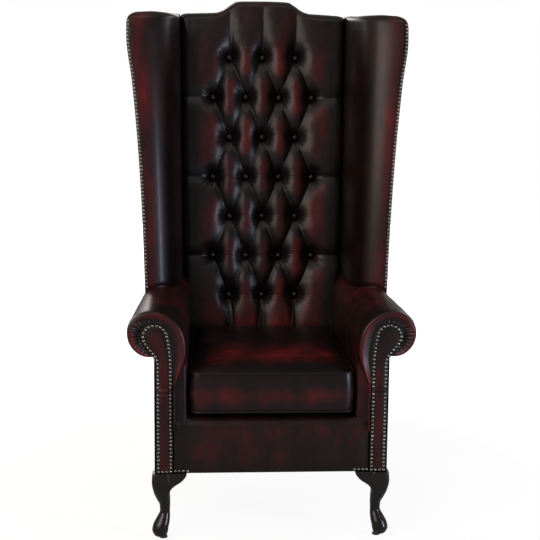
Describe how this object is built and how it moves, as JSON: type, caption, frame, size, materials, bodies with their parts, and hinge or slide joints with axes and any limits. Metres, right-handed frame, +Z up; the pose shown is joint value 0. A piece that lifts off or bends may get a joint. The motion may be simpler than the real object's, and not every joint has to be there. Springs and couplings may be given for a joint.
{
  "type": "high back wing chair",
  "caption": "Tall wing chair in dark red leather with a deep buttoned back, scroll arms, a loose seat cushion and cabriole front legs.",
  "frame": {"origin": "on the floor, in the middle of the overall box", "axes": "+Z up, front faces -Y, X = 0 is the plane of symmetry"},
  "size_m": [0.818, 0.7912, 1.5196],
  "materials": {
    "leather": "waxed, rubbed antique oxblood",
    "frame_wood": "raw beech",
    "leg_wood": "dark mahogany stain, satin",
    "foam": "cut foam and fibre",
    "cloth": "woven",
    "steel": "zinc plated",
    "nail_brass": "antique, domed",
    "zip_metal": "satin",
    "glide_plastic": "moulded"
  },
  "bodies": {
    "chair": {"arm_rails": "frame_wood", "arm_stumps": "frame_wood", "back_buttons": "leather", "back_foam": "foam", "back_hessian": "cloth", "back_posts": "frame_wood", "back_seat_rail": "frame_wood", "back_webbing": "cloth", "button_twines": "cloth", "buttoned_back": "leather", "corner_blocks": "frame_wood", "crest_rail": "frame_wood", "dust_cover": "cloth", "floor_glides": "glide_plastic", "front_border": "leather", "front_edge_pad": "foam", "front_nails": "nail_brass", "front_seat_rail": "frame_wood", "left_arm_cover": "leather", "left_arm_facing": "leather", "left_arm_foam": "foam", "left_front_leg": "leg_wood", "left_inside_wing_cover": "leather", "left_outside_arm_panel": "leather", "left_outside_wing_panel": "leather", "left_rear_leg": "leg_wood", "left_seat_rail": "frame_wood", "left_wing_cap": "leather", "left_wing_pad": "foam", "leg_bolts": "steel", "lumbar_rail": "frame_wood", "outside_back_panel": "leather", "rail_dowels": "frame_wood", "right_arm_cover": "leather", "right_arm_facing": "leather", "right_arm_foam": "foam", "right_front_leg": "leg_wood", "right_inside_wing_cover": "leather", "right_outside_arm_panel": "leather", "right_outside_wing_panel": "leather", "right_rear_leg": "leg_wood", "right_seat_rail": "frame_wood", "right_wing_cap": "leather", "right_wing_pad": "foam", "seat_deck": "foam", "seat_springs": "steel", "spring_clips": "steel", "tacking_rails": "frame_wood", "wing_nails": "nail_brass", "wing_posts": "frame_wood", "wing_top_rails": "frame_wood"},
    "seat_cushion": {"cushion_foam": "foam", "cushion_top_panel": "leather", "cushion_border": "leather", "cushion_bottom_panel": "leather", "top_piping": "leather", "bottom_piping": "leather", "cushion_zip": "zip_metal"},
    "zip_slider": {"zip_slider": "zip_metal"}
  },
  "joints": [
    {"name": "cushion_slide", "type": "slide", "parent": "chair", "child": "seat_cushion", "axis": [0, -1, 0], "range_m": [0, 0.6]},
    {"name": "zip_slide", "type": "slide", "parent": "seat_cushion", "child": "zip_slider", "axis": [1, 0, 0], "range_m": [0, 0.364]}
  ]
}
